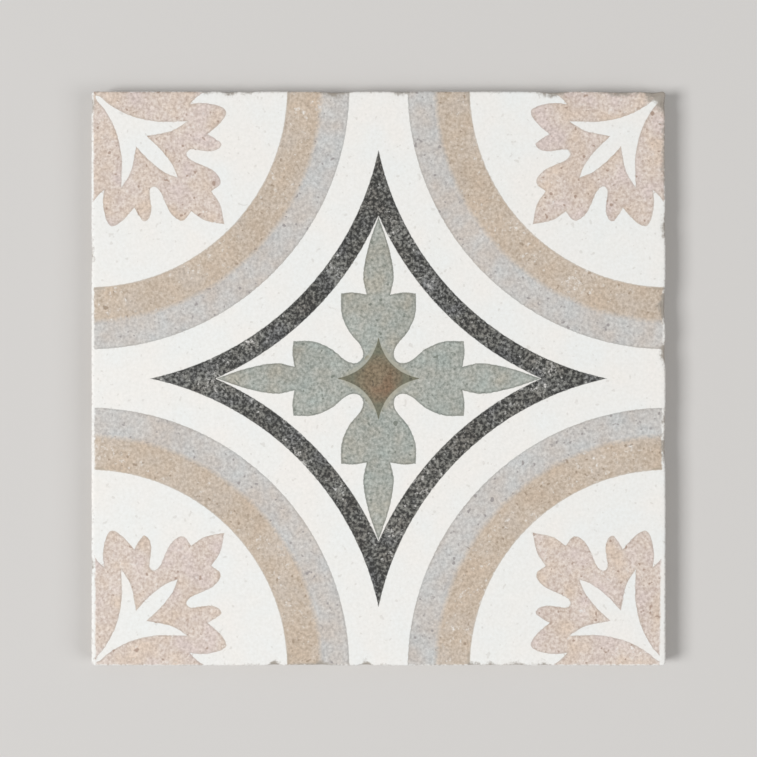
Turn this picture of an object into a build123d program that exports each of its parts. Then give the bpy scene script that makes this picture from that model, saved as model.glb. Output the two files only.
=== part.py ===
"""Patterned floor tile: one slab of dust-pressed porcelain, glazed on its face and fired.

The tile lies face up. Its origin is at the middle of the back, where it beds on the floor,
with +Z up through the face and X and Y along the edges. Lengths are in millimetres.
"""

from build123d import *

import math
import os

# The slab
tile_side = 200.0  # face, edge to edge
tile_thickness = 9.0  # back ribs to face
arris_radius = 0.9  # rounded edge round the glazed face

# The edge, which leans in below an upright band so that the pressed slab leaves its die
edge_band_height = 4.0  # upright band, from the face down
edge_draft_angle = 6.0  # degrees from upright, below the band
back_edge_break = 0.5  # broken edge round the back, at 45 degrees
back_corner_radius = 0.4  # the four corners of the back, seen from below

# The keyed back: shallow pockets between ribs, where the adhesive grips
pockets_per_row = 6  # an even count, so that two ribs cross at the middle of the back
pocket_depth = 0.8
pocket_corner_radius = 3.0
pocket_draft_angle = 40.0  # degrees from upright, so that the press punch lets go
rib_width = 5.0  # between two pockets
border_width = 8.0  # plain rim between the pockets and the back's edge

# Worked out from the sizes above
break_angle = 45.0
leaning_height = tile_thickness - edge_band_height - back_edge_break
lean = leaning_height * math.tan(math.radians(edge_draft_angle))
back_side = tile_side - 2 * (lean + back_edge_break)
face_corner_radius = back_corner_radius + back_edge_break + lean
pocket_pitch = (back_side - 2 * border_width + rib_width) / pockets_per_row
pocket_side = pocket_pitch - rib_width  # mouth of a pocket, flat to flat


def square_outline(height, inset):
    """The tile's outline at a height, drawn facing down, as far inside the face's outline as inset says."""
    with BuildSketch(Plane(origin=(0, 0, height), z_dir=(0, 0, -1))) as outline:
        side = tile_side - 2 * inset
        RectangleRounded(side, side, face_corner_radius - inset)
    return outline.sketch


def pressed_slab():
    """The slab as it leaves the die: upright band, leaning edge, broken back edge, rounded face edge."""
    band_foot = tile_thickness - edge_band_height
    with BuildPart() as slab:
        extrude(square_outline(tile_thickness, 0), amount=edge_band_height)
        extrude(square_outline(band_foot, 0), amount=leaning_height, taper=edge_draft_angle)
        extrude(square_outline(back_edge_break, lean), amount=back_edge_break, taper=break_angle)
        face = slab.faces().sort_by(Axis.Z)[-1]
        fillet(face.edges(), radius=arris_radius)
    return slab.part


def key_pockets():
    """The punch's square teeth, whose prints are the pockets in the back."""
    with BuildPart() as teeth:
        with BuildSketch():
            with GridLocations(pocket_pitch, pocket_pitch, pockets_per_row, pockets_per_row):
                RectangleRounded(pocket_side, pocket_side, pocket_corner_radius)
        extrude(amount=pocket_depth, taper=pocket_draft_angle)
    return teeth.part


patterned_tile = pressed_slab() - key_pockets()

os.makedirs("parts", exist_ok=True)
export_step(patterned_tile, "parts/patterned_tile.step")
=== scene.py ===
"""The look of the patterned tile: a matt glazed face with a traditional print, a worn rim and a bare back.

The tile lies face up on a pale floor. Lengths are in millimetres, and MM takes them to Blender's metres.
"""

import math
from typing import NamedTuple

import bpy
import numpy as np
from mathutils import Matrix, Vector, noise
from mathutils.geometry import delaunay_2d_cdt, interpolate_bezier


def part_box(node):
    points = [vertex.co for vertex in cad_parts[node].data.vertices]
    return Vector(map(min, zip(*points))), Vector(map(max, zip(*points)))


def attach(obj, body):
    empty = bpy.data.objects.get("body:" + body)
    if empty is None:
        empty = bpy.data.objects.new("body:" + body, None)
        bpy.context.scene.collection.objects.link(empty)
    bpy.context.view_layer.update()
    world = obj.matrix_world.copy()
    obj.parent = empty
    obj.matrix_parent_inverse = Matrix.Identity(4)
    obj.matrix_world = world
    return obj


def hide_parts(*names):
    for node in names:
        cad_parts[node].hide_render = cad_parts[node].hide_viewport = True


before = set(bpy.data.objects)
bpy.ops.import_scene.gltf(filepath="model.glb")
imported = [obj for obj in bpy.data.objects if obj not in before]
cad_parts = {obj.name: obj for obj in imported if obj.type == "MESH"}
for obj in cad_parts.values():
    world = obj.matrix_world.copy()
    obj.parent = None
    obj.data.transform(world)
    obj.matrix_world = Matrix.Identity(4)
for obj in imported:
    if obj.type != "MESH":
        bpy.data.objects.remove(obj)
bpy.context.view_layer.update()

MM = 0.001
NODE = "patterned_tile"

# The slab, from the frame
slab_low, slab_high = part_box(NODE)
HALF_SIDE = (slab_high.x - slab_low.x) / 2 / MM
THICKNESS = (slab_high.z - slab_low.z) / MM

# The edge, as the slab was pressed
ARRIS_RADIUS = 0.9
ARRIS_STEPS = 5
BAND_HEIGHT = 4.0
DRAFT_ANGLE = 6.0  # in degrees, as all angles are
BACK_BREAK = 0.5
BACK_CORNER_RADIUS = 0.4
LEAN = (THICKNESS - BAND_HEIGHT - BACK_BREAK) * math.tan(math.radians(DRAFT_ANGLE))
CORNER_RADIUS = BACK_CORNER_RADIUS + BACK_BREAK + LEAN
CORNER_STEPS = 6
EDGE_STEP = 0.45  # between two points along a side of the rim
SHARP_ANGLE = 35.0  # faces that turn by more than this meet in a sharp edge

# The keyed back
POCKETS_PER_ROW = 6
POCKET_DEPTH = 0.8
POCKET_CORNER_RADIUS = 3.0
POCKET_WALL_ANGLE = 40.0  # from upright
POCKET_DRAFT = POCKET_DEPTH * math.tan(math.radians(POCKET_WALL_ANGLE))
RIB_WIDTH = 5.0
BORDER_WIDTH = 8.0
BACK_HALF_SIDE = HALF_SIDE - LEAN - BACK_BREAK
POCKET_PITCH = (2 * (BACK_HALF_SIDE - BORDER_WIDTH) + RIB_WIDTH) / POCKETS_PER_ROW
POCKET_HALF_SIDE = (POCKET_PITCH - RIB_WIDTH) / 2

# The glaze
GLAZE_REACH = 1.7  # down the edge from the face, at least
GLAZE_DRIP = 0.6  # and how much further in places
DRIP_SIZE = 6.0  # of such a place
DRIP_SEED = 9.0
FACE_WAVE = 0.05  # how far the fired face dips
FACE_WAVE_SIZE = 24.0
FACE_WAVE_SEED = 1.0

# The printed rings, as radii about a point a little past each corner of the tile
RING_PAST_CORNER = 0.7
RING_CENTRE = HALF_SIDE + RING_PAST_CORNER  # along X and along Y, from the tile's middle
SAND_RING = (69.05, 80.75)
GREY_RING = (78.4, 90.55)  # it runs a little way under the sand
SAND_LINE = (SAND_RING[0], 69.85)  # the darker line along the sand's inner edge
CHARCOAL_RING = (102.9, 109.9)
CRISP_SIDE = 5.0  # the sand fades into the grey, and its other side is this much crisper

# The star in the middle
STAR_REACH = 14.3  # to its tips
STAR_CENTRE = 16.9  # of the circle that a hollow side follows, along X and along Y from the tile's middle
STAR_RADIUS = 17.1  # of that circle
OLIVE_EDGE = 0.4  # the star's edge is olive to about this depth
OLIVE_TIP = 7.7  # and so are its tips, from about here out
OLIVE_BLEED = 0.1  # how far the olive runs past the star's outline
OLIVE_CRISP = 12.0  # how much crisper it is there than where it fades into the brown
HALO_WIDTH = 1.4  # the pale line along the hollow sides
HALO_FROM_TIP = 0.6  # it stops this far beside a tip's middle line

# Outlines of the print in the quarter where X and Y are positive, from the tile's middle.
# Each is one half: the other half is its mirror image about the diagonal.
SHARP = True
ROUND = False
PAST_EDGE = 2.0  # the print runs this far past the tile's edge
CROSS_HALF = [
    (0.0, 56.3, SHARP), (3.5, 45.9, ROUND), (5.3, 35.6, ROUND), (4.1, 29.2, SHARP), (8.7, 29.9, ROUND),
    (13.0, 29.6, SHARP), (12.8, 22.5, ROUND), (10.2, 16.3, ROUND), (6.4, 11.6, ROUND), (5.3, 8.4, ROUND),
    (6.25, 6.25, ROUND),
]
LEAF_HALF = [
    (HALF_SIDE + PAST_EDGE, 57.2, SHARP), (99.2, 61.3, ROUND), (97.5, 63.6, ROUND), (95.4, 65.5, SHARP),
    (95.8, 61.8, ROUND), (95.4, 57.9, ROUND), (94.2, 54.2, ROUND), (92.5, 52.9, ROUND), (89.0, 54.9, ROUND),
    (84.9, 59.4, SHARP), (83.2, 56.5, ROUND), (81.1, 54.6, ROUND), (79.1, 57.7, ROUND), (79.3, 62.3, ROUND),
    (79.6, 65.5, ROUND), (78.1, 66.8, ROUND), (75.9, 65.0, ROUND), (74.1, 61.0, ROUND), (71.8, 56.9, ROUND),
    (68.1, 54.9, ROUND), (65.1, 58.1, SHARP), (60.5, 55.1, ROUND), (53.6, 53.6, SHARP),
]
VEIN_HALF = [
    (98.4, 98.4, SHARP), (98.2, 97.1, ROUND), (94.9, 93.1, ROUND), (91.2, 85.8, ROUND), (89.3, 77.0, ROUND),
    (89.3, 71.0, ROUND), (89.4, 66.4, SHARP), (86.2, 71.7, ROUND), (84.8, 77.8, ROUND), (84.3, 80.7, SHARP),
    (79.3, 75.5, ROUND), (74.0, 71.5, ROUND), (69.9, 69.9, SHARP),
]
LINE_STEP = 0.6  # between two points along a printed outline
FEWEST_STEPS = 2  # from one anchor to the next
LATTICE_STEP = 2.0  # between the points that fill the face
FINEST = 4  # decimals of a point on an outline, so that one on an axis is the same in both its quarters
MERGE_GAP = 0.0001  # points closer than this are one
ON_LINE = 0.02  # a point closer than this to an outline counts as on it
INSIDE_ONLY = 1  # the kind of triangulation that keeps the triangles inside the outlines

# How far the print comes towards the middle of each side, and how much further at its north or east end
PRINT_REACH = {"east": (98.75, 1.05), "west": (98.75, 0.4), "north": (99.8, 0.0), "south": (99.5, 0.0)}

# Where the print is rubbed pale: (X, Y, how far the patch reaches)
RUBBED_PATCHES = (
    (-15.5, 37.0, 3.6), (18.0, 33.0, 2.8), (-13.5, -39.0, 2.6), (26.0, 25.0, 2.0), (38.0, 14.5, 2.0),
    (56.5, -3.5, 1.8), (-2.0, -34.0, 1.8), (-20.0, 94.5, 3.0), (-28.0, 93.5, 2.2), (-30.0, -67.0, 2.2),
    (29.5, -75.5, 2.0), (87.5, -67.0, 2.4), (66.5, -88.5, 2.2), (-84.0, -94.5, 1.8), (71.0, -81.0, 1.8),
)

# The largest dark pores: (X, Y, how far the pore reaches)
DARK_PORES = (
    (5.9, -15.6, 1.3), (-57.2, 67.8, 1.1), (39.6, -42.1, 1.1), (60.1, 64.4, 1.0), (80.9, 60.2, 1.0),
    (82.6, 62.0, 0.9), (68.4, 63.4, 0.7), (95.4, 92.0, 1.1), (26.1, -64.1, 0.8), (79.9, 18.6, 0.7),
)

# The worn rim, with its stains and painted shade: (middle of a worn stretch, its length, how far in it
# reaches).
# The middle is an X or a Y, whichever runs along that side.
WORN_STRETCHES = {
    "north": ((-60.0, 3.0, 0.9), (-52.0, 4.5, 2.0), (-45.5, 5.0, 1.0), (-15.0, 9.0, 2.2), (7.5, 6.0, 1.6),
              (60.5, 8.0, 2.6), (84.0, 12.0, 2.0), (98.0, 10.0, 4.2)),
    "south": ((-36.0, 4.0, 2.2), (-25.0, 14.0, 1.1), (-20.0, 5.0, 2.3), (-4.5, 4.0, 2.3), (33.0, 4.0, 1.7),
              (39.0, 5.0, 1.3), (48.0, 6.0, 1.5), (58.0, 4.0, 1.3)),
    "west": ((-64.5, 5.0, 1.2), (43.0, 10.0, 0.8), (96.0, 6.0, 1.5)),
    "east": ((-23.0, 14.0, 1.7), (-14.0, 6.0, 1.2), (9.0, 7.0, 2.3), (25.0, 11.0, 3.0), (53.0, 10.0, 1.7),
             (80.0, 34.0, 1.3), (98.0, 10.0, 4.2)),
}
FULL_WEAR = 3.3  # a stretch that reaches this far in, or further, has worn the most
RAGGED = 0.5  # how much a worn stretch's reach differs from notch to notch
RAGGED_SIZE = 1.3  # of those notches
RAGGED_SEED = 7.0
FINE_BAND = (3.7, 2.85, 2.0)  # how far in from the edge the rings of points over the worn width lie
SMALLEST_CORNER = 0.3  # the least radius of those rings' corners
FAR_FROM_STAIN_AND_SHADE = -FINE_BAND[0]  # the depth inside the rim's stains and painted shade of a point that is far from them
BITE = 0.7  # how far the worst wear eats into a side
CORNER_FADE = 3.0  # the bite fades over this length before a corner
CHIP_DROP = 0.35  # how far the worst wear sinks the face's edge
WANDER = 0.12  # how far in the edge wanders, all along
WANDER_SIZE = 11.0
WANDER_SEED = 3.0
CRUMBLE = 0.05  # how far in the edge crumbles, all along
CRUMBLE_SIZE = 1.7
CRUMBLE_SEED = 5.0


# The outlines of the print

def smooth_line(anchors):
    """A line through the anchors that is round at each ROUND one and turns at once at each SHARP one."""
    spots = [Vector((x, y)) for x, y, _ in anchors]
    headings = [None] * len(spots)
    for i in range(1, len(spots) - 1):
        if anchors[i][2] is ROUND:
            headings[i] = (spots[i + 1] - spots[i - 1]).normalized()
    line = [spots[0]]
    for i, (start, end) in enumerate(zip(spots, spots[1:])):
        straight = (end - start).normalized()
        handle = (end - start).length / 3
        leaving = (headings[i] or straight) * handle
        arriving = (headings[i + 1] or straight) * handle
        steps = max(FEWEST_STEPS, round((end - start).length / LINE_STEP))
        line += interpolate_bezier(start, start + leaving, end - arriving, end, steps + 1)[1:]
    return np.round(line, FINEST)


def both_halves(half):
    """A half outline with its mirror image about the diagonal."""
    return half + [(y, x, turn) for x, y, turn in reversed(half[:-1])]


def quarter_arc(centre, radius):
    """The arc about a point on the diagonal that faces the tile's middle."""
    steps = round(radius * math.pi / 2 / LINE_STEP)
    turns = np.linspace(0, math.pi / 2, steps + 1)
    return centre - radius * np.stack([np.cos(turns), np.sin(turns)], axis=1)


CROSS = smooth_line(both_halves(CROSS_HALF))
LEAF = smooth_line(both_halves(LEAF_HALF))
VEIN = smooth_line(both_halves(VEIN_HALF))
PAST_MIDDLE = np.array([(-1.0, -1.0)])  # closes the cross, beyond the tile's middle
PAST_CORNER = np.array([(HALF_SIDE + PAST_EDGE, HALF_SIDE + PAST_EDGE)])  # closes the leaf


def depth_inside(spots, line, closed_by):
    """How deep each spot lies inside a line, negative outside. What closes the line isn't printed."""
    loop = np.concatenate([line, closed_by])
    nearest = np.full(len(spots), np.inf)
    inside = np.zeros(len(spots), bool)
    for i, (start, end) in enumerate(zip(loop, np.roll(loop, -1, axis=0))):
        run = end - start
        if run[1]:
            crossing = start[0] + (spots[:, 1] - start[1]) * run[0] / run[1]
            beside = (start[1] > spots[:, 1]) != (end[1] > spots[:, 1])
            inside ^= beside & (spots[:, 0] < crossing)
        if i < len(line) - 1:
            share = np.clip((spots - start) @ run / (run @ run), 0, 1)
            gap = np.linalg.norm(spots - start - share[:, None] * run, axis=1)
            nearest = np.minimum(nearest, gap)
    return np.where(inside, nearest, -nearest)


def ink_depths(spots):
    """How deep each spot lies inside each ink's outline, by the ink's name."""
    quarter = np.abs(spots)
    from_centre = np.hypot(*(RING_CENTRE - quarter).T)
    rings = {"grey": GREY_RING, "sand_line": SAND_LINE, "charcoal": CHARCOAL_RING}
    depths = {name: np.minimum(from_centre - near, far - from_centre) for name, (near, far) in rings.items()}
    depths["sand"] = np.minimum(CRISP_SIDE * (from_centre - SAND_RING[0]), SAND_RING[1] - from_centre)
    leaf = depth_inside(quarter, LEAF, PAST_CORNER)
    vein = depth_inside(quarter, VEIN, VEIN[:1])
    depths["leaf"] = np.minimum(leaf, -vein)
    depths["sage"] = depth_inside(quarter, CROSS, PAST_MIDDLE)
    hollow = np.hypot(*(STAR_CENTRE - quarter).T) - STAR_RADIUS
    star = np.minimum(hollow, STAR_REACH - quarter.max(axis=1))
    depths["star"] = star
    olive = np.maximum(OLIVE_EDGE - star, quarter.max(axis=1) - OLIVE_TIP)
    depths["star_tip"] = np.minimum(OLIVE_CRISP * (star + OLIVE_BLEED), olive)
    depths["halo"] = np.minimum(star + HALO_WIDTH, quarter.min(axis=1) - HALO_FROM_TIP)
    return depths


def from_outlines(spots):
    """How far each spot lies from the nearest outline of an ink."""
    return np.min([np.abs(depth) for depth in ink_depths(spots).values()], axis=0)


def print_margins(spots):
    """How far inside the edge of the whole print each spot lies."""
    x, y = spots.T / HALF_SIDE
    margins = []
    for side, across, along in (("east", x, y), ("west", -x, y), ("north", y, x), ("south", -y, x)):
        reach, further = PRINT_REACH[side]
        margins.append(reach + further * along - HALF_SIDE * across)
    return np.min(margins, axis=0)


def rubbed_shares(spots):
    """How much the print is rubbed pale at each spot, from 0 to 1 in the middle of a patch."""
    shares = [np.exp(-((spots - (x, y)) ** 2).sum(axis=1) / reach ** 2) for x, y, reach in RUBBED_PATCHES]
    return np.max(shares, axis=0)


# The mesh

class TileMesh:
    """The tile's points and faces as they are made."""

    def __init__(self):
        self.spots = []
        self.rim_stain_and_shade_depths = []  # for each point, how deep it lies inside the rim's stains and painted shade
        self.faces = []
        self.bare = []  # for each face, whether it is bare body

    def add_points(self, spots, heights, rim_stain_and_shade_depths):
        """Adds a point at each spot, and gives the new points' numbers."""
        first = len(self.spots)
        self.spots += [(x, y, z) for (x, y), z in zip(spots, heights)]
        self.rim_stain_and_shade_depths += list(rim_stain_and_shade_depths)
        return list(range(first, first + len(spots)))

    def add_faces(self, faces, bare):
        """Adds faces that are all bare body or all glazed."""
        self.faces += faces
        self.bare += [bare] * len(faces)

    def bridge(self, upper, lower, bare):
        """Joins two rings of as many points by a ring of faces."""
        quads = []
        for i in range(len(upper)):
            j = (i + 1) % len(upper)
            quads.append((upper[i], lower[i], lower[j], upper[j]))
        self.add_faces(quads, bare)


def rounded_square(half_side, radius, side_points, corner_steps):
    """The points of a square with rounded corners, and their outward ways. It starts in the south-east."""
    straight = half_side - radius
    turns = np.linspace(-math.pi / 2, 0, corner_steps + 1)
    corner_ways = np.stack([np.cos(turns), np.sin(turns)], axis=1)
    along = np.linspace(-straight, straight, side_points)[1:-1]
    side = np.stack([np.full(len(along), half_side), along], axis=1)
    spots = np.concatenate([(straight, -straight) + radius * corner_ways, side])
    ways = np.concatenate([corner_ways, np.tile((1.0, 0.0), (len(along), 1))])
    quarter_turns = [np.array([(c, s), (-s, c)]) for c, s in ((1, 0), (0, 1), (-1, 0), (0, -1))]
    all_spots = np.concatenate([spots @ turn for turn in quarter_turns])
    all_ways = np.concatenate([ways @ turn for turn in quarter_turns])
    return all_spots, all_ways


def waviness(spots, size, seed):
    """A smooth random field from 0 to 1, whose waves have this size, at each spot."""
    return np.array([0.5 + 0.5 * noise.noise(Vector((x / size, y / size, seed))) for x, y in spots])


def face_heights(spots):
    """The height of the fired face, which isn't quite flat, at each spot."""
    return THICKNESS - FACE_WAVE * waviness(spots, FACE_WAVE_SIZE, FACE_WAVE_SEED)


def wear_reaches(spots):
    """How far in from the edge the rim is worn, stained and painted with shade, beside each spot of the rim.
    """
    reaches = []
    for x, y in spots:
        if abs(x) > abs(y):
            side, along = ("east" if x > 0 else "west"), y
        else:
            side, along = ("north" if y > 0 else "south"), x
        bells = [reach * math.exp(-(2 * (along - middle) / length) ** 2)
                 for middle, length, reach in WORN_STRETCHES[side]]
        reaches.append(max(bells))
    return np.array(reaches) * (1 + RAGGED * (waviness(spots, RAGGED_SIZE, RAGGED_SEED) - 0.5))


def build_rim(tile):
    """The rim as rings of points, from the face's border to the back's. Gives the first ring and the last."""
    side_points = round(2 * (HALF_SIDE - CORNER_RADIUS) / EDGE_STEP)
    outline, ways = rounded_square(HALF_SIDE, CORNER_RADIUS, side_points, CORNER_STEPS)
    reaches = wear_reaches(outline)
    wear = np.minimum(reaches / FULL_WEAR, 1)
    eaten = WANDER * waviness(outline, WANDER_SIZE, WANDER_SEED)
    eaten += CRUMBLE * waviness(outline, CRUMBLE_SIZE, CRUMBLE_SEED)
    to_corner = HALF_SIDE - CORNER_RADIUS - np.abs(outline).min(axis=1)
    eaten += BITE * wear * np.clip(to_corner / CORNER_FADE, 0, 1)
    rings = []

    # The worn width of the face, and the arris
    for inset in FINE_BAND:
        corner = max(CORNER_RADIUS - inset, SMALLEST_CORNER)
        spots, _ = rounded_square(HALF_SIDE - inset, corner, side_points, CORNER_STEPS)
        rings.append(tile.add_points(spots, face_heights(spots), reaches - inset))
    for turn in np.linspace(0, math.pi / 2, ARRIS_STEPS + 1):
        inset = ARRIS_RADIUS * (1 - math.sin(turn))
        drop = ARRIS_RADIUS * (1 - math.cos(turn)) + CHIP_DROP * wear * math.cos(turn)
        spots = outline - ways * (inset + eaten)[:, None]
        rings.append(tile.add_points(spots, face_heights(outline) - drop, reaches - inset))

    # The foot of the glaze, where the edge is half as eaten, and the bare edge below it
    glaze_foot = THICKNESS - GLAZE_REACH - GLAZE_DRIP * waviness(outline, DRIP_SIZE, DRIP_SEED)
    rings.append(tile.add_points(outline - ways * (eaten / 2)[:, None], glaze_foot, reaches - ARRIS_RADIUS))
    glazed_rings = len(rings)
    for inset, height in ((0.0, THICKNESS - BAND_HEIGHT), (LEAN, BACK_BREAK), (LEAN + BACK_BREAK, 0.0)):
        level = np.full(len(outline), height)
        rings.append(tile.add_points(outline - ways * inset, level, reaches - FINE_BAND[0]))

    for i, (upper, lower) in enumerate(zip(rings, rings[1:]), start=1):
        tile.bridge(upper, lower, bare=i >= glazed_rings)
    return rings[0], rings[-1]


def printed_lines(first, reach):
    """The points of the print's outlines in all quarters, numbered from first on, and their edges."""
    lines = [CROSS, LEAF, VEIN, quarter_arc(STAR_CENTRE, STAR_RADIUS)]
    lines += [quarter_arc(RING_CENTRE, radius) for radius in (*SAND_RING, GREY_RING[1], *CHARCOAL_RING)]
    spots = []
    edges = []
    for flip in ((1, 1), (-1, 1), (-1, -1), (1, -1)):
        for line in lines:
            unbroken = False
            for spot in line:
                on_face = (spot >= 0).all() and (spot < reach).all()
                if on_face and unbroken:
                    edges.append((first + len(spots) - 1, first + len(spots)))
                if on_face:
                    spots.append(spot * flip)
                unbroken = on_face
    return spots, edges


def build_face(tile, border):
    """Fills the border with triangles that follow every printed outline."""
    half_face = HALF_SIDE - FINE_BAND[0]
    line_spots, edges = printed_lines(len(border), half_face - EDGE_STEP / 2)
    spots = [Vector(tile.spots[i][:2]) for i in border] + [Vector(spot) for spot in line_spots]

    lattice_reach = half_face - LATTICE_STEP / 2
    steps = np.linspace(-lattice_reach, lattice_reach, round(2 * lattice_reach / LATTICE_STEP) + 1)
    lattice = np.stack(np.meshgrid(steps, steps), axis=-1).reshape(-1, 2)
    spots += [Vector(spot) for spot in lattice[from_outlines(lattice) > LINE_STEP]]

    # An edge that runs from outline to outline would show as a line, so it gets a point in its middle
    rim = [list(range(len(border)))]
    made, joined, *_ = delaunay_2d_cdt(spots, edges, rim, INSIDE_ONLY, MERGE_GAP)
    ends = np.array(made)[np.array(joined)]
    both_on_line = from_outlines(ends.reshape(-1, 2)).reshape(-1, 2).max(axis=1) < ON_LINE
    middles = ends.mean(axis=1)
    spots += [Vector(spot) for spot in middles[both_on_line & (from_outlines(middles) > ON_LINE)]]

    made, _, triangles, sources, *_ = delaunay_2d_cdt(spots, edges, rim, INSIDE_ONLY, MERGE_GAP)
    heights = face_heights(made)
    index = []
    for spot, height, source in zip(made, heights, sources):
        on_border = [i for i in source if i < len(border)]
        if on_border:
            index.append(border[on_border[0]])
        else:
            index += tile.add_points([spot], [height], [FAR_FROM_STAIN_AND_SHADE])
    tile.add_faces([tuple(index[i] for i in triangle) for triangle in triangles], bare=False)


def build_back(tile, border):
    """The keyed back: ribs between rows of pockets with leaning walls."""
    mouth, ways = rounded_square(POCKET_HALF_SIDE, POCKET_CORNER_RADIUS,
                                 side_points=2, corner_steps=CORNER_STEPS)
    level = np.zeros(len(mouth))
    far_from_stain_and_shade = np.full(len(mouth), FAR_FROM_STAIN_AND_SHADE)
    loops = [border]
    first_place = -POCKET_PITCH * (POCKETS_PER_ROW - 1) / 2
    for row in range(POCKETS_PER_ROW):
        for column in range(POCKETS_PER_ROW):
            middle = first_place + POCKET_PITCH * np.array((column, row))
            lip = tile.add_points(middle + mouth, level, far_from_stain_and_shade)
            floor = tile.add_points(middle + mouth - ways * POCKET_DRAFT, level + POCKET_DEPTH, far_from_stain_and_shade)
            tile.bridge(lip, floor, bare=True)
            tile.add_faces([tuple(reversed(floor))], bare=True)
            loops.append(lip)

    # The ribs and the border are what lies inside the first loop alone
    index = [i for loop in loops for i in loop]
    spots = [Vector(tile.spots[i][:2]) for i in index]
    outlines = []
    first = 0
    for loop in loops:
        outlines.append(list(range(first, first + len(loop))))
        first += len(loop)
    _, _, triangles, sources, _, within = delaunay_2d_cdt(spots, [], outlines, INSIDE_ONLY, MERGE_GAP)
    back = [index[source[0]] for source in sources]
    ribs = [triangle for triangle, inside in zip(triangles, within) if set(inside) == {0}]
    tile.add_faces([tuple(back[i] for i in reversed(triangle)) for triangle in ribs], bare=True)


def unfold(mesh):
    """Lays the face, the back and the four sides out flat on one map, with most of it for the face."""
    face_share = 0.8
    back_share = 0.18
    next_place = 0.81  # where the back starts along the map, and the sides up it
    strip_pitch = 0.045
    strip_height = 0.04
    facing_up = 0.7
    facing_down = -0.3
    uv = mesh.uv_layers.new(name="OFBake")
    side = 2 * HALF_SIDE * MM
    for polygon in mesh.polygons:
        normal = polygon.normal
        for loop in polygon.loop_indices:
            x, y, z = mesh.vertices[mesh.loops[loop].vertex_index].co
            across, along = x / side + 0.5, y / side + 0.5
            if normal.z > facing_up:
                spot = (face_share * across, face_share * along)
            elif normal.z < facing_down:
                spot = (next_place + back_share * across, back_share * along)
            else:
                if abs(normal.x) > abs(normal.y):
                    strip = 0 if normal.x > 0 else 1
                    across = along
                else:
                    strip = 2 if normal.y > 0 else 3
                up = z / (THICKNESS * MM)
                spot = (face_share * across, next_place + strip_pitch * strip + strip_height * up)
            uv.data[loop].uv = spot


def glazed_tile():
    """The whole tile as one closed mesh that keeps each ink's depth, the print's margin, rubs, and the rim's
    stains and painted shade.
    """
    tile = TileMesh()
    face_border, back_border = build_rim(tile)
    build_face(tile, face_border)
    build_back(tile, back_border)

    mesh = bpy.data.meshes.new("glazed_tile")
    spots = np.array(tile.spots)
    mesh.from_pydata((spots * MM).tolist(), [], tile.faces)
    for polygon, bare in zip(mesh.polygons, tile.bare):
        polygon.material_index = int(bare)
    fields = {f"{name}_depth": depth for name, depth in ink_depths(spots[:, :2]).items()}
    fields["print_margin"] = print_margins(spots[:, :2])
    fields["rubbed"] = rubbed_shares(spots[:, :2])
    fields["rim_stain_and_shade_depth"] = np.array(tile.rim_stain_and_shade_depths)
    for name, values in fields.items():
        mesh.attributes.new(name, "FLOAT", "POINT").data.foreach_set("value", values.astype(np.float32))
    unfold(mesh)
    mesh.shade_smooth()
    mesh.set_sharp_from_angle(angle=math.radians(SHARP_ANGLE))
    piece = bpy.data.objects.new("glazed_tile", mesh)
    bpy.context.scene.collection.objects.link(piece)
    return piece


# The finishes

def linear(hex_colour):
    """An sRGB hex value as the linear colour that a shader takes."""
    channels = [int(hex_colour[i:i + 2], 16) / 255 for i in (1, 3, 5)]
    return [c / 12.92 if c <= 0.04045 else ((c + 0.055) / 1.055) ** 2.4 for c in channels] + [1.0]


def per_size(size):
    """The scale of a pattern whose patches are this many millimetres across."""
    return 1 / (size * MM)


def add_node(tree, kind, output, inputs, **settings):
    """Adds a node with its settings, sets or links its inputs, and gives the output asked for."""
    added = tree.nodes.new(kind)
    for name, value in settings.items():
        setattr(added, name, value)
    sockets = {socket.identifier: socket for socket in added.inputs}
    for name, value in inputs.items():
        if isinstance(value, bpy.types.NodeSocket):
            tree.links.new(value, sockets[name])
        else:
            sockets[name].default_value = value
    return next(socket for socket in added.outputs if socket.identifier == output)


def start_material(name):
    """A new material with a Principled shader. Gives the material, its nodes and the shader."""
    material = bpy.data.materials.new(name)
    material.use_nodes = True
    tree = material.node_tree
    shader = next(n for n in tree.nodes if n.type == "BSDF_PRINCIPLED")
    return material, tree, shader


class Pattern(NamedTuple):
    """A random pattern in a finish, with levels from 0 to 1."""
    size: float  # of its patches
    seed: float
    detail: float  # how many finer patterns lie on it
    roughness: float = 0.5  # how strong those are


class Ink(NamedTuple):
    """One printed ink: its colours, how it lies and how it has worn."""
    outline: str  # the ink's name in the mesh
    deep: str  # the dark of its grain
    pale: str  # the light of its grain
    warm: str  # the hue that it drifts towards in patches
    cool: str  # the hue that it drifts towards in the other patches
    speck: str  # its pores
    contrast: float = 1.0  # how hard its grain is
    balance: float = 0.5  # level of the grain between its dark and its light
    rim: float = 0.0  # how much it darkens along its outline
    ragged: float = 0.1  # how far its edge strays, in millimetres
    soft: float = 0.12  # half the width of its edge, in millimetres
    bare_from: float = 0.62  # level of the worn pattern where the glaze starts to show through
    bare_to: float = 0.78  # and where it shows bare


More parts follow.
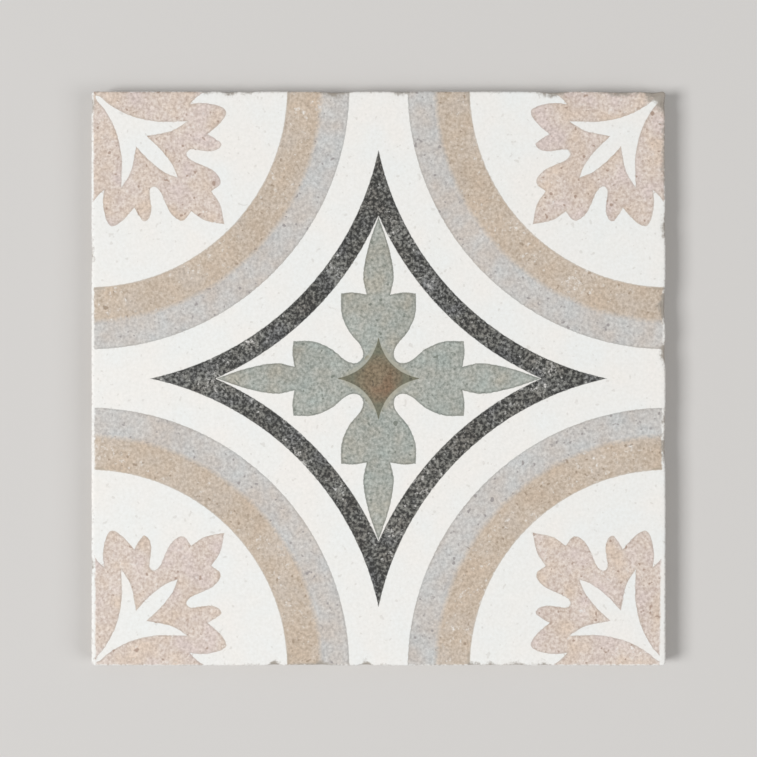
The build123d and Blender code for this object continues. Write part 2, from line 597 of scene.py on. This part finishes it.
INKS = (
    Ink("leaf", deep="#c0ada1", pale="#e9ded5", warm="#d9c5b3", cool="#d5c6c2", speck="#a58c7d",
        rim=0.4, ragged=0.12, bare_from=0.59, bare_to=0.74),
    Ink("grey", deep="#b4b0ad", pale="#d8d5d1", warm="#cbc1b8", cool="#c2c4c4", speck="#969090",
        rim=0.4, ragged=0.12, bare_from=0.61, bare_to=0.78),
    Ink("sand", deep="#b2a18e", pale="#d7c9ba", warm="#c8b5a1", cool="#c5b9ad", speck="#9d8a77",
        ragged=0.4, soft=1.0, bare_from=0.575, bare_to=0.72),
    Ink("sand_line", deep="#aa9d8d", pale="#beb2a3", warm="#b5a592", cool="#b3a99e", speck="#94806c",
        soft=0.25),
    Ink("charcoal", deep="#2b2b29", pale="#a2a29c", warm="#64615c", cool="#5c5d5f", speck="#262624",
        contrast=1.15, balance=0.575, rim=0.4, bare_from=0.58, bare_to=0.74),
    Ink("sage", deep="#878c84", pale="#c0c1ba", warm="#aca89b", cool="#a0a9a4", speck="#72786f",
        rim=0.9, bare_from=0.62, bare_to=0.80),
    Ink("halo", deep="#a2a295", pale="#b2b1a3", warm="#b4af9f", cool="#adb0a6", speck="#a39d88",
        soft=0.5, bare_from=0.70, bare_to=0.85),
    Ink("star", deep="#62553e", pale="#978670", warm="#86684f", cool="#776a54", speck="#504638",
        ragged=0.04, soft=0.10, bare_from=0.66, bare_to=0.82),
    Ink("star_tip", deep="#616252", pale="#7f7e6b", warm="#726e5c", cool="#6e7160", speck="#4f4e40",
        ragged=0.04, soft=1.2, bare_from=0.66, bare_to=0.82),
)

# The patterns in the glaze
GRAIN = Pattern(size=1.1, seed=1.0, detail=3.0, roughness=0.65)  # fine light and dark
PATCH = Pattern(size=9.0, seed=3.0, detail=2.0)  # slow drift of hue
CLOUD = Pattern(size=14.0, seed=4.0, detail=2.0)  # slow light and dark
FLECK = Pattern(size=1.2, seed=6.0, detail=3.0, roughness=0.6)  # where the ink has worn off
PORE = Pattern(size=1.7, seed=5.0, detail=1.0)  # dark specks
MIDDLE = 0.5  # the middle level of a pattern

# How an ink follows those patterns
GRAIN_SWING = 0.16  # how far the grain swings from its middle level
TONE_SWING = 0.14  # and how far the tone does, which is the grain with a little of the cloud
TONE_CLOUD = 0.12  # the cloud's share in the tone
WORN_CLOUD = 0.22  # and in the worn pattern, which is otherwise the flecks
HUE_SWING = 0.18  # how far the hue's level is from the middle where an ink is at its warmest or coolest
HUE_SHARE = 0.75  # how far its hue has drifted there
RIM_WIDTH = 0.8  # of the darker line along an ink's outline
RIM_SHADE = "#bfc0bd"  # what that line is darkened by
PORE_LEVELS = (0.67, 0.73)  # where a pore starts, and where it is full
PORE_COVER = 0.85  # how much of the ink a full pore hides
PORE_LIFT = 0.6  # how much the middle of a large pore lifts the pattern of the pores
RUB_PALER = 0.075  # how much rubbing lifts the tone
RUB_THROUGH = 0.09  # and how much it lifts the worn pattern, so that more glaze shows through
MARGIN_STRAY = 2.0  # how far the flecks move the edge of the whole print
MARGIN_SOFT = 0.3  # half the width of that edge

# The white glaze under the print, and the stains and painted shade on its rim
COOL_WHITE = "#f0f2f1"
WARM_WHITE = "#f4f1ed"
WHITE_SWING = 0.15  # how far the cloud's level is from the middle at either white
CHALK = "#e3e2de"  # what the grain dulls the white with
CHALK_SHARE = 0.5  # the most that it does so
WHITE_PORE = "#bdb8b0"
WHITE_PORE_SHARE = 0.35  # how much of a pore shows in the white
# One grey-brown for the rim's stains and for the shade painted into its chips
RIM_STAIN_AND_SHADE = "#a1998f"
STAIN_AND_SHADE_BREAK = 6.0  # how far the flecks move the edge of a stain and its painted shade
STAIN_AND_SHADE_START = -0.4  # depth inside a worn stretch where the stain and painted shade start
STAIN_AND_SHADE_FULL = 1.6  # and where it is full
STAIN_AND_SHADE_COVER = 0.95  # how much a full stain with its painted shade hides

# How the glaze takes the light
GLAZE_IOR = 1.5
GLAZE_ROUGHNESS = 0.55
GLAZE_RELIEF = 0.05  # the height of its grain
GLAZE_BUMP = 0.25  # how much of that relief shows

# The bare body
GRIT = Pattern(size=0.7, seed=1.0, detail=3.0)
GRIT_SWING = 0.2  # how far the grit swings from its middle level
DARK_GRIT = "#b3aca4"
PALE_GRIT = "#d2ccc4"
FIRING = Pattern(size=16.0, seed=2.0, detail=2.0)  # warmer patches from the kiln
FIRING_LEVELS = (0.4, 0.7)  # where such a patch starts, and where it is full
FIRING_TINT = "#d8c9b8"
FIRING_SHARE = 0.5  # how much a full patch is tinted
BODY_ROUGHNESS = 0.85
GRIT_RELIEF = 0.1  # the height of the grit
GRIT_BUMP = 0.4  # how much of that relief shows


class GlazePatterns(NamedTuple):
    """The patterns that all the inks share."""
    grain: bpy.types.NodeSocket  # fine light and dark
    tone: bpy.types.NodeSocket  # the grain with a slow drift
    patch: bpy.types.NodeSocket  # slow drift of hue
    worn: bpy.types.NodeSocket  # where the white glaze shows through
    pores: bpy.types.NodeSocket  # dark specks
    margin: bpy.types.NodeSocket  # 1 on the print and 0 on the bare rim


def lay_ink(tree, ground, ink, patterns):
    """Prints an ink over the ground: ragged-edged, mottled, tinted in patches, pored and worn through."""
    depth = add_node(tree, "ShaderNodeAttribute", "Fac", {}, attribute_name=f"{ink.outline}_depth")
    stray = ink.ragged / GRAIN_SWING
    edge = MIDDLE * stray
    strayed = add_node(tree, "ShaderNodeMath", "Value",
                       {"Value": patterns.grain, "Value_001": stray, "Value_002": depth},
                       operation="MULTIPLY_ADD")
    printed = add_node(tree, "ShaderNodeMapRange", "Result",
                       {"Value": strayed, "From Min": edge - ink.soft, "From Max": edge + ink.soft})
    whole = add_node(tree, "ShaderNodeMapRange", "Result",
                     {"Value": patterns.worn, "From Min": ink.bare_from, "From Max": ink.bare_to,
                      "To Min": 1.0, "To Max": 0.0})
    left = add_node(tree, "ShaderNodeMath", "Value",
                    {"Value": printed, "Value_001": whole}, operation="MULTIPLY")
    cover = add_node(tree, "ShaderNodeMath", "Value",
                     {"Value": left, "Value_001": patterns.margin}, operation="MULTIPLY")

    swing = TONE_SWING / ink.contrast
    tone = add_node(tree, "ShaderNodeMapRange", "Result",
                    {"Value": patterns.tone, "From Min": ink.balance - swing,
                     "From Max": ink.balance + swing})
    colour = add_node(tree, "ShaderNodeMix", "Result_Color",
                      {"Factor_Float": tone, "A_Color": linear(ink.deep), "B_Color": linear(ink.pale)},
                      data_type="RGBA")
    for hue, full_at in ((ink.warm, MIDDLE + HUE_SWING), (ink.cool, MIDDLE - HUE_SWING)):
        drift = add_node(tree, "ShaderNodeMapRange", "Result",
                         {"Value": patterns.patch, "From Min": MIDDLE, "From Max": full_at,
                          "To Max": HUE_SHARE})
        colour = add_node(tree, "ShaderNodeMix", "Result_Color",
                          {"Factor_Float": drift, "A_Color": colour, "B_Color": linear(hue)},
                          data_type="RGBA", blend_type="COLOR")
    rim = add_node(tree, "ShaderNodeMapRange", "Result",
                   {"Value": depth, "From Min": 0.0, "From Max": RIM_WIDTH,
                    "To Min": ink.rim, "To Max": 0.0})
    colour = add_node(tree, "ShaderNodeMix", "Result_Color",
                      {"Factor_Float": rim, "A_Color": colour, "B_Color": linear(RIM_SHADE)},
                      data_type="RGBA", blend_type="MULTIPLY")
    colour = add_node(tree, "ShaderNodeMix", "Result_Color",
                      {"Factor_Float": patterns.pores, "A_Color": colour, "B_Color": linear(ink.speck)},
                      data_type="RGBA")
    return add_node(tree, "ShaderNodeMix", "Result_Color",
                    {"Factor_Float": cover, "A_Color": ground, "B_Color": colour}, data_type="RGBA")


def printed_matt_glaze():
    """Matt porcelain glaze with inks fired into it: chalky white, no mirror shine, fine grain in the print.

    The print's real dots are finer than the eye sees, so the grain is as coarse as the photograph shows it.
    """
    material, tree, shader = start_material("printed_matt_glaze")
    place = add_node(tree, "ShaderNodeTexCoord", "Object", {})
    grain, patch, cloud, fleck, pore = (
        add_node(tree, "ShaderNodeTexNoise", "Fac",
                 {"Vector": place, "W": pattern.seed, "Scale": per_size(pattern.size),
                  "Detail": pattern.detail, "Roughness": pattern.roughness},
                 noise_dimensions="4D")
        for pattern in (GRAIN, PATCH, CLOUD, FLECK, PORE)
    )

    # What wear and dirt do to the patterns
    drifting = add_node(tree, "ShaderNodeMix", "Result_Float",
                        {"Factor_Float": TONE_CLOUD, "A_Float": grain, "B_Float": cloud})
    thinned = add_node(tree, "ShaderNodeMix", "Result_Float",
                       {"Factor_Float": WORN_CLOUD, "A_Float": fleck, "B_Float": cloud})
    rubbed = add_node(tree, "ShaderNodeAttribute", "Fac", {}, attribute_name="rubbed")
    tone = add_node(tree, "ShaderNodeMath", "Value",
                    {"Value": rubbed, "Value_001": RUB_PALER, "Value_002": drifting},
                    operation="MULTIPLY_ADD")
    worn = add_node(tree, "ShaderNodeMath", "Value",
                    {"Value": rubbed, "Value_001": RUB_THROUGH, "Value_002": thinned},
                    operation="MULTIPLY_ADD")
    for x, y, reach in DARK_PORES:
        away = add_node(tree, "ShaderNodeVectorMath", "Value",
                        {"Vector": place, "Vector_001": (x * MM, y * MM, THICKNESS * MM)},
                        operation="DISTANCE")
        lift = add_node(tree, "ShaderNodeMapRange", "Result",
                        {"Value": away, "From Max": reach * MM, "To Min": PORE_LIFT, "To Max": 0.0})
        pore = add_node(tree, "ShaderNodeMath", "Value", {"Value": pore, "Value_001": lift}, operation="ADD")
    pores = add_node(tree, "ShaderNodeMapRange", "Result",
                     {"Value": pore, "From Min": PORE_LEVELS[0], "From Max": PORE_LEVELS[1],
                      "To Max": PORE_COVER})
    inside = add_node(tree, "ShaderNodeAttribute", "Fac", {}, attribute_name="print_margin")
    ragged_margin = add_node(tree, "ShaderNodeMath", "Value",
                             {"Value": fleck, "Value_001": MARGIN_STRAY, "Value_002": inside},
                             operation="MULTIPLY_ADD")
    margin_edge = MIDDLE * MARGIN_STRAY
    margin = add_node(tree, "ShaderNodeMapRange", "Result",
                      {"Value": ragged_margin, "From Min": margin_edge - MARGIN_SOFT,
                       "From Max": margin_edge + MARGIN_SOFT})

    # The white ground
    white_tone = add_node(tree, "ShaderNodeMapRange", "Result",
                          {"Value": cloud, "From Min": MIDDLE - WHITE_SWING,
                           "From Max": MIDDLE + WHITE_SWING})
    colour = add_node(tree, "ShaderNodeMix", "Result_Color",
                      {"Factor_Float": white_tone, "A_Color": linear(COOL_WHITE),
                       "B_Color": linear(WARM_WHITE)},
                      data_type="RGBA")
    chalk = add_node(tree, "ShaderNodeMapRange", "Result",
                     {"Value": grain, "From Min": MIDDLE - GRAIN_SWING, "From Max": MIDDLE + GRAIN_SWING,
                      "To Max": CHALK_SHARE})
    colour = add_node(tree, "ShaderNodeMix", "Result_Color",
                      {"Factor_Float": chalk, "A_Color": colour, "B_Color": linear(CHALK)},
                      data_type="RGBA")
    faint_pores = add_node(tree, "ShaderNodeMath", "Value",
                           {"Value": pores, "Value_001": WHITE_PORE_SHARE}, operation="MULTIPLY")
    colour = add_node(tree, "ShaderNodeMix", "Result_Color",
                      {"Factor_Float": faint_pores, "A_Color": colour, "B_Color": linear(WHITE_PORE)},
                      data_type="RGBA")

    # The inks, each over the last, and the rim's stains and painted shade over them all
    patterns = GlazePatterns(grain, tone, patch, worn, pores, margin)
    for ink in INKS:
        colour = lay_ink(tree, colour, ink, patterns)
    # The rim's stains, which also paint the shade of its chips into the colour
    stain_and_shade_depth = add_node(tree, "ShaderNodeAttribute", "Fac", {}, attribute_name="rim_stain_and_shade_depth")
    broken_stain_and_shade = add_node(tree, "ShaderNodeMath", "Value",
                            {"Value": fleck, "Value_001": STAIN_AND_SHADE_BREAK, "Value_002": stain_and_shade_depth},
                            operation="MULTIPLY_ADD")
    stain_and_shade_edge = MIDDLE * STAIN_AND_SHADE_BREAK
    stained_and_shaded = add_node(tree, "ShaderNodeMapRange", "Result",
                       {"Value": broken_stain_and_shade, "From Min": stain_and_shade_edge + STAIN_AND_SHADE_START,
                        "From Max": stain_and_shade_edge + STAIN_AND_SHADE_FULL, "To Max": STAIN_AND_SHADE_COVER})
    colour = add_node(tree, "ShaderNodeMix", "Result_Color",
                      {"Factor_Float": stained_and_shaded, "A_Color": colour, "B_Color": linear(RIM_STAIN_AND_SHADE)},
                      data_type="RGBA")

    tree.links.new(colour, shader.inputs["Base Color"])
    shader.inputs["IOR"].default_value = GLAZE_IOR
    shader.inputs["Roughness"].default_value = GLAZE_ROUGHNESS
    bump = add_node(tree, "ShaderNodeBump", "Normal",
                    {"Height": grain, "Strength": GLAZE_BUMP, "Distance": GLAZE_RELIEF * MM})
    tree.links.new(bump, shader.inputs["Normal"])
    return material


def bare_fired_porcelain():
    """Unglazed porcelain body as it left the press and the kiln: pale warm grey, dry and finely gritty.

    Its real grit is about 0.2 mm across, and it is drawn coarser so that it shows.
    """
    material, tree, shader = start_material("bare_fired_porcelain")
    place = add_node(tree, "ShaderNodeTexCoord", "Object", {})
    grit, firing = (
        add_node(tree, "ShaderNodeTexNoise", "Fac",
                 {"Vector": place, "W": pattern.seed, "Scale": per_size(pattern.size),
                  "Detail": pattern.detail, "Roughness": pattern.roughness},
                 noise_dimensions="4D")
        for pattern in (GRIT, FIRING)
    )
    tone = add_node(tree, "ShaderNodeMapRange", "Result",
                    {"Value": grit, "From Min": MIDDLE - GRIT_SWING, "From Max": MIDDLE + GRIT_SWING})
    colour = add_node(tree, "ShaderNodeMix", "Result_Color",
                      {"Factor_Float": tone, "A_Color": linear(DARK_GRIT), "B_Color": linear(PALE_GRIT)},
                      data_type="RGBA")
    fired = add_node(tree, "ShaderNodeMapRange", "Result",
                     {"Value": firing, "From Min": FIRING_LEVELS[0], "From Max": FIRING_LEVELS[1],
                      "To Max": FIRING_SHARE})
    colour = add_node(tree, "ShaderNodeMix", "Result_Color",
                      {"Factor_Float": fired, "A_Color": colour, "B_Color": linear(FIRING_TINT)},
                      data_type="RGBA", blend_type="MULTIPLY")
    tree.links.new(colour, shader.inputs["Base Color"])
    shader.inputs["Roughness"].default_value = BODY_ROUGHNESS
    bump = add_node(tree, "ShaderNodeBump", "Normal",
                    {"Height": grit, "Strength": GRIT_BUMP, "Distance": GRIT_RELIEF * MM})
    tree.links.new(bump, shader.inputs["Normal"])
    return material


# The stage, in metres and watts

def pale_floor():
    """A plain pale floor under the tile."""
    reach = 4.0
    roughness = 0.9
    corners = [(-reach, -reach, 0), (reach, -reach, 0), (reach, reach, 0), (-reach, reach, 0)]
    mesh = bpy.data.meshes.new("floor")
    mesh.from_pydata(corners, [], [(0, 1, 2, 3)])
    floor = bpy.data.objects.new("floor", mesh)
    bpy.context.scene.collection.objects.link(floor)
    material, _, shader = start_material("pale_floor")
    shader.inputs["Base Color"].default_value = linear("#d3d1cf")
    shader.inputs["Roughness"].default_value = roughness
    mesh.materials.append(material)
    return floor


def soft_light(name, place, size, power):
    """A square soft light that faces the tile."""
    light = bpy.data.lights.new(name, "AREA")
    light.size = size
    light.energy = power
    lamp = bpy.data.objects.new(name, light)
    lamp.location = place
    lamp.rotation_euler = (-Vector(place)).to_track_quat("-Z", "Y").to_euler()
    lamp.visible_camera = False
    bpy.context.scene.collection.objects.link(lamp)


def studio():
    """The photograph's light: soft, mostly from the left, a little from the right, in a pale surround."""
    surround_strength = 0.415
    soft_light("left_light", place=(-3.0, -0.66, 3.3), size=1.7, power=142.0)
    soft_light("right_light", place=(3.0, -1.0, 3.0), size=2.4, power=50.4)
    world = bpy.data.worlds.new("pale_surround")
    world.use_nodes = True
    background = world.node_tree.nodes["Background"]
    background.inputs["Color"].default_value = linear("#e6e5e3")
    background.inputs["Strength"].default_value = surround_strength
    bpy.context.scene.world = world
    bpy.context.scene.view_settings.view_transform = "Standard"


def overhead_camera():
    """A camera straight above the tile, with the tile over three quarters of the frame's width."""
    tile_share = 0.76
    lens = 85.0  # in millimetres, as the sensor is
    sensor = 36.0
    camera = bpy.data.cameras.new("camera")
    camera.lens = lens
    camera.sensor_width = sensor
    rig = bpy.data.objects.new("camera", camera)
    frame_width = 2 * HALF_SIDE * MM / tile_share
    rig.location = (0.0, 0.0, THICKNESS * MM + frame_width * lens / sensor)
    bpy.context.scene.collection.objects.link(rig)
    bpy.context.scene.camera = rig


tile = glazed_tile()
tile.data.materials.append(printed_matt_glaze())
tile.data.materials.append(bare_fired_porcelain())
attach(tile, "root")
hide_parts(NODE)
pale_floor()
studio()
overhead_camera()
